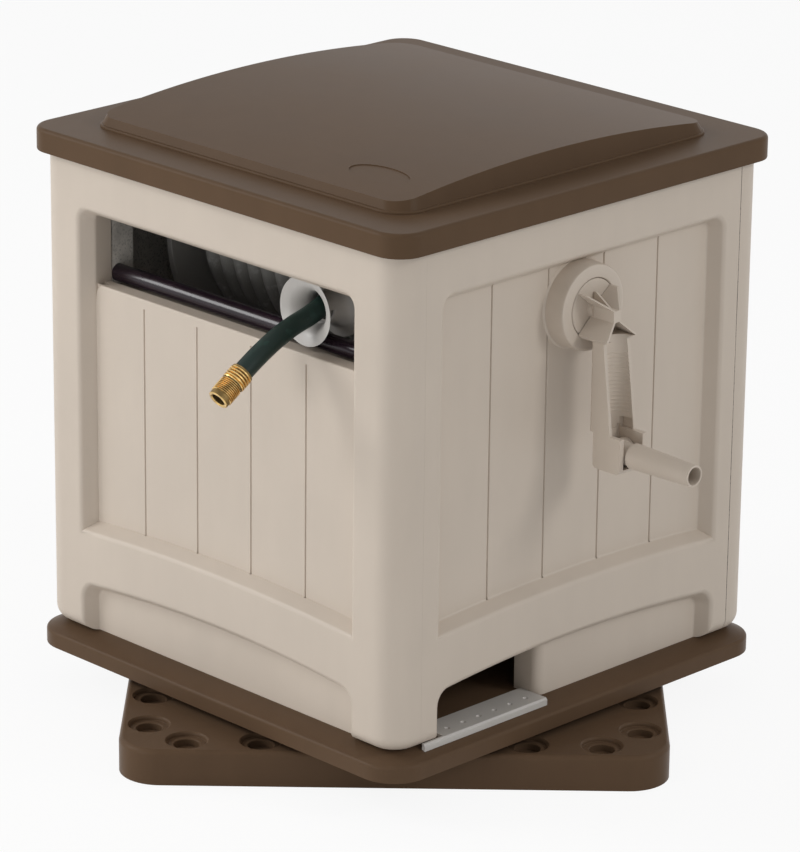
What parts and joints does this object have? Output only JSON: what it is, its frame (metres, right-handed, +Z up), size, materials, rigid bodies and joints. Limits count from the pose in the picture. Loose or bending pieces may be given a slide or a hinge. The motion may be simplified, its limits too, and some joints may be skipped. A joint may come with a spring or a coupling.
{
  "type": "hose reel",
  "caption": "Square garden hose reel box on a swivel base, with a hinged crowned lid, a folding side crank, a sliding hose guide and a hose wound on the reel inside.",
  "frame": {"origin": "on the swivel axis, at the underside of the base, where it stands on the ground", "axes": "+Z up; -Y towards the front with the hose window; +X towards the crank"},
  "size_m": [0.8619, 0.8238, 0.6945],
  "materials": {
    "brown_plastic": "satin, fine moulded grain",
    "lid_plastic": "satin, fine moulded grain",
    "beige_plastic": "matte, fine moulded grain",
    "grey_plastic": "satin",
    "reel_plastic": "matte",
    "bearing_plastic": "smooth slip plastic",
    "rod_coating": "gloss dark coating on tube",
    "hose_rubber": "satin",
    "seal_rubber": "matte",
    "brass": "machined",
    "steel": "zinc plated"
  },
  "bodies": {
    "base": {"base_plate": "brown_plastic", "slip_ring": "bearing_plastic", "pivot_bolt": "steel", "pivot_washer": "steel"},
    "cabinet": {"tray": "brown_plastic", "front_panel": "beige_plastic", "right_panel": "beige_plastic", "left_panel": "beige_plastic", "back_panel": "beige_plastic", "panel_screws": "steel", "leader_sill": "grey_plastic", "lid_hinge_pins": "steel", "inlet_bearing": "reel_plastic", "inlet_seal": "seal_rubber", "crank_bezel": "beige_plastic", "guide_rod": "rod_coating"},
    "lid_body": {"lid": "lid_plastic"},
    "reel": {"reel_drum": "reel_plastic", "flange_right": "reel_plastic", "flange_left": "reel_plastic", "drive_axle": "reel_plastic", "water_axle": "brass", "outlet_elbow": "brass", "hose_core": "hose_rubber", "hose_winding": "hose_rubber", "crank_hub": "beige_plastic", "crank_arm": "beige_plastic", "crank_screw": "steel", "grip_pin": "steel"},
    "grip": {"crank_grip": "beige_plastic"},
    "guide": {"hose_guide": "grey_plastic", "hose_lead": "hose_rubber", "hose_coupling": "brass"}
  },
  "joints": [
    {"name": "cabinet_swivel", "type": "hinge", "parent": "base", "child": "cabinet", "pos_m": [0, 0, 0.05], "axis": [0, 0, 1], "continuous": true},
    {"name": "lid_hinge", "type": "hinge", "parent": "cabinet", "child": "lid_body", "pos_m": [0, 0.2928, 0.6335], "axis": [-1, 0, 0], "range_deg": [0, 105]},
    {"name": "reel_spin", "type": "hinge", "parent": "cabinet", "child": "reel", "pos_m": [0, 0, 0.5268], "axis": [1, 0, 0], "continuous": true},
    {"name": "grip_fold", "type": "hinge", "parent": "reel", "child": "grip", "pos_m": [0.338, 0, 0.3738], "axis": [0, -1, 0], "range_deg": [0, 90]},
    {"name": "guide_slide", "type": "slide", "parent": "cabinet", "child": "guide", "axis": [1, 0, 0], "range_m": [-0.285, 0.05]}
  ]
}
